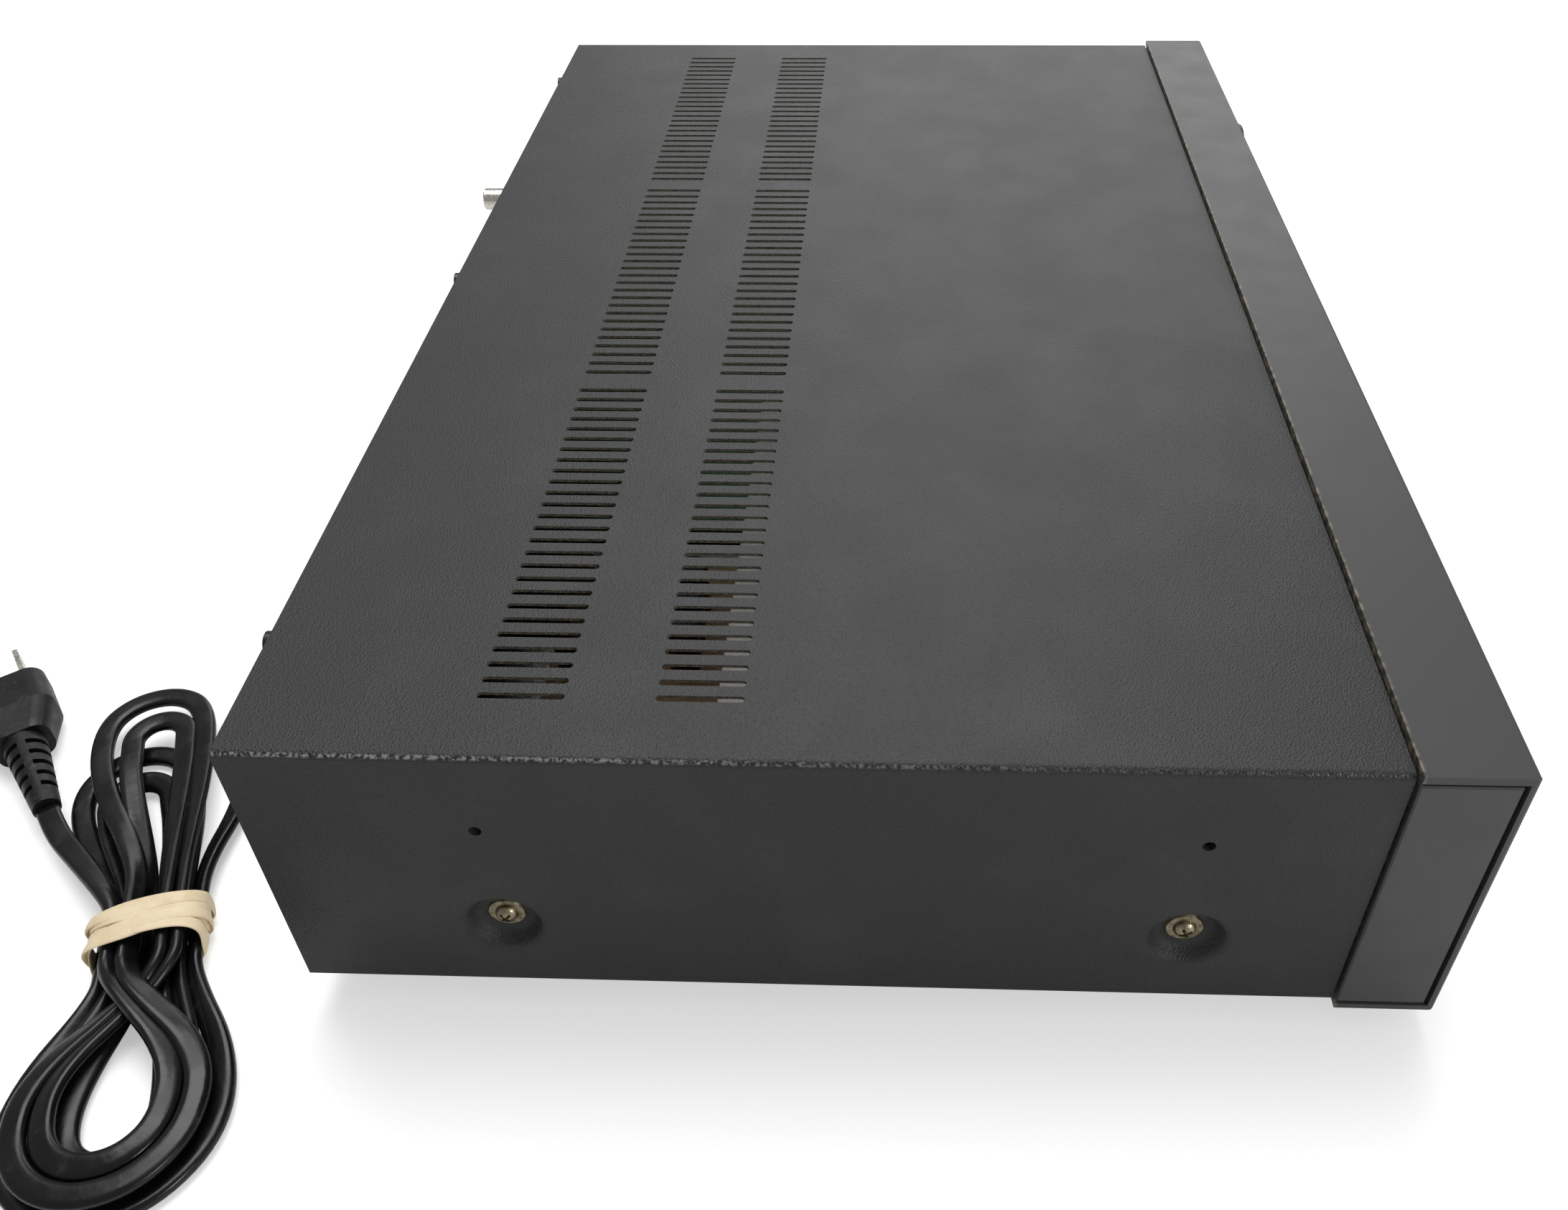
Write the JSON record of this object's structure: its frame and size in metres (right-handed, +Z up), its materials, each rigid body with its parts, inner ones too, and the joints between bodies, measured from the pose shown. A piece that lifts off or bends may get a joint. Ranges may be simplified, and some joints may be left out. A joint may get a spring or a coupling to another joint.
{
  "type": "cd recorder",
  "caption": "Home disc recorder with a front-loading tray, display, keys and level knob, a folded vented cover, round feet and a banded mains cord.",
  "frame": {"origin": "on the floor under the middle of the case, midway between the level knob's face and the rear socket's end", "axes": "+X right as seen from the front, +Y to the rear, +Z up"},
  "size_m": [0.4953, 0.4438, 0.0952],
  "materials": {
    "case_paint": "dark grey pebbled paint",
    "galvanised": "zinc coated sheet, satin",
    "black_plastic": "fine grain",
    "smooth_black": "semi gloss",
    "window": "smoked",
    "dark_metal": "satin",
    "nickel": "bright",
    "yellowed_zinc": "passivated",
    "gear_plastic": "natural",
    "grey_plastic": "satin",
    "steel_rod": "ground",
    "board_green": "satin",
    "board_brown": "satin",
    "capacitor_sleeve": "satin",
    "heat_aluminium": "satin",
    "pad_rubber": "matte",
    "belt_rubber": "matte",
    "cord_vinyl": "semi gloss",
    "band_rubber": "matte",
    "ribbon": "satin",
    "blade_brass": "nickelled"
  },
  "bodies": {
    "case": {"top_cover": "case_paint", "bottom_chassis": "galvanised", "rear_panel": "dark_metal", "front_bezel": "black_plastic", "left_cheek": "black_plastic", "right_cheek": "black_plastic", "display_window": "window", "display_module": "grey_plastic", "key_board": "board_brown", "phones_jack": "smooth_black", "drive_shell": "galvanised", "loader_frame": "grey_plastic", "clamp_bridge": "galvanised", "loading_motor": "steel_rod", "loading_belt": "belt_rubber", "traverse_dampers": "belt_rubber", "main_board": "board_green", "power_board": "board_brown", "capacitors": "capacitor_sleeve", "board_chips": "smooth_black", "heat_sink": "heat_aluminium", "socket_blocks": "smooth_black", "socket_barrels": "nickel", "ribbon_cable": "ribbon", "feet": "black_plastic", "foot_pads": "pad_rubber", "cover_side_screws": "yellowed_zinc", "panel_screws": "dark_metal", "strain_relief": "smooth_black", "mains_cord": "cord_vinyl", "cord_hank": "cord_vinyl", "rubber_band": "band_rubber", "plug_lead": "cord_vinyl", "plug_body": "smooth_black", "plug_blades": "blade_brass"},
    "tray": {"disc_tray": "black_plastic", "tray_front": "black_plastic"},
    "first_gear": {"loading_gear": "gear_plastic"},
    "second_gear": {"pulley_gear": "gear_plastic"},
    "drive_pulley": {"motor_pulley": "gear_plastic"},
    "cam": {"cam_slider": "gear_plastic"},
    "traverse": {"traverse_frame": "grey_plastic", "spindle_motor": "steel_rod", "guide_rods": "steel_rod", "sled_motor": "steel_rod"},
    "platter": {"turntable": "smooth_black"},
    "clamp": {"clamper": "gear_plastic"},
    "pickup": {"optical_pickup": "dark_metal"},
    "sled_wheel": {"sled_gear": "gear_plastic"},
    "sled_pinion": {"sled_motor_gear": "gear_plastic"},
    "level_knob": {"record_level_knob": "black_plastic"},
    "phones_knob": {"phones_level_knob": "black_plastic"},
    "power_key": {"power_button": "black_plastic"},
    "open_key": {"open_button": "black_plastic"},
    "play_pause_key": {"play_pause_button": "black_plastic"},
    "stop_key": {"stop_button": "black_plastic"},
    "back_key": {"back_button": "black_plastic"},
    "forward_key": {"forward_button": "black_plastic"},
    "record_key": {"record_button": "black_plastic"},
    "finalize_key": {"finalize_button": "black_plastic"}
  },
  "joints": [
    {"name": "tray_slide", "type": "slide", "parent": "case", "child": "tray", "axis": [0, -1, 0], "range_m": [0, 0.14]},
    {"name": "loading_gear_spin", "type": "hinge", "parent": "case", "child": "first_gear", "pos_m": [-0.171, -0.11825, 0.052], "axis": [0, 0, 1], "range_deg": [0, 1146]},
    {"name": "pulley_gear_spin", "type": "hinge", "parent": "case", "child": "second_gear", "pos_m": [-0.1502, -0.11825, 0.052], "axis": [0, 0, 1], "range_deg": [-3820, 0]},
    {"name": "motor_pulley_spin", "type": "hinge", "parent": "case", "child": "drive_pulley", "pos_m": [-0.1172, -0.11825, 0.052], "axis": [0, 0, 1], "range_deg": [-13131, 0]},
    {"name": "cam_slide", "type": "slide", "parent": "case", "child": "cam", "axis": [1, 0, 0], "range_m": [0, 0.0201]},
    {"name": "traverse_tilt", "type": "hinge", "parent": "case", "child": "traverse", "pos_m": [-0.126, 0.02375, 0.0515], "axis": [1, 0, 0], "range_deg": [0, 3.61]},
    {"name": "turntable_spin", "type": "hinge", "parent": "traverse", "child": "platter", "pos_m": [-0.126, -0.06125, 0.06], "axis": [0, 0, 1], "continuous": true},
    {"name": "clamper_spin", "type": "hinge", "parent": "case", "child": "clamp", "pos_m": [-0.126, -0.06125, 0.073], "axis": [0, 0, 1], "continuous": true},
    {"name": "pickup_slide", "type": "slide", "parent": "traverse", "child": "pickup", "axis": [0, 1, 0], "range_m": [0, 0.035]},
    {"name": "sled_gear_spin", "type": "hinge", "parent": "traverse", "child": "sled_wheel", "pos_m": [-0.0975, -0.01855, 0.0535], "axis": [0, 0, 1], "range_deg": [-669, 0]},
    {"name": "sled_motor_gear_spin", "type": "hinge", "parent": "traverse", "child": "sled_pinion", "pos_m": [-0.086, -0.01855, 0.0535], "axis": [0, 0, 1], "range_deg": [0, 2407]},
    {"name": "level_knob_turn", "type": "hinge", "parent": "case", "child": "level_knob", "pos_m": [0.172, -0.145, 0.063], "axis": [0, -1, 0], "range_deg": [-150, 150]},
    {"name": "phones_knob_turn", "type": "hinge", "parent": "case", "child": "phones_knob", "pos_m": [-0.126, -0.145, 0.025], "axis": [0, -1, 0], "range_deg": [-150, 150]},
    {"name": "power_press", "type": "slide", "parent": "case", "child": "power_key", "axis": [0, 1, 0], "range_m": [0, 0.001], "stiffness_N_per_m": 400},
    {"name": "open_press", "type": "slide", "parent": "case", "child": "open_key", "axis": [0, 1, 0], "range_m": [0, 0.001], "stiffness_N_per_m": 400},
    {"name": "play_pause_press", "type": "slide", "parent": "case", "child": "play_pause_key", "axis": [0, 1, 0], "range_m": [0, 0.001], "stiffness_N_per_m": 400},
    {"name": "stop_press", "type": "slide", "parent": "case", "child": "stop_key", "axis": [0, 1, 0], "range_m": [0, 0.001], "stiffness_N_per_m": 400},
    {"name": "back_press", "type": "slide", "parent": "case", "child": "back_key", "axis": [0, 1, 0], "range_m": [0, 0.001], "stiffness_N_per_m": 400},
    {"name": "forward_press", "type": "slide", "parent": "case", "child": "forward_key", "axis": [0, 1, 0], "range_m": [0, 0.001], "stiffness_N_per_m": 400},
    {"name": "record_press", "type": "slide", "parent": "case", "child": "record_key", "axis": [0, 1, 0], "range_m": [0, 0.001], "stiffness_N_per_m": 400},
    {"name": "finalize_press", "type": "slide", "parent": "case", "child": "finalize_key", "axis": [0, 1, 0], "range_m": [0, 0.001], "stiffness_N_per_m": 400}
  ],
  "couplings": [
    {"joint": "loading_gear_spin", "follows": "tray_slide", "rad_per_m": 142.86},
    {"joint": "pulley_gear_spin", "follows": "tray_slide", "rad_per_m": -476.19},
    {"joint": "motor_pulley_spin", "follows": "tray_slide", "rad_per_m": -1636.9},
    {"joint": "cam_slide", "follows": "tray_slide", "ratio": 0.14286},
    {"joint": "traverse_tilt", "follows": "tray_slide", "rad_per_m": 0.4488},
    {"joint": "clamper_spin", "follows": "turntable_spin", "ratio": 1},
    {"joint": "sled_gear_spin", "follows": "pickup_slide", "rad_per_m": -333.33},
    {"joint": "sled_motor_gear_spin", "follows": "pickup_slide", "rad_per_m": 1200}
  ]
}
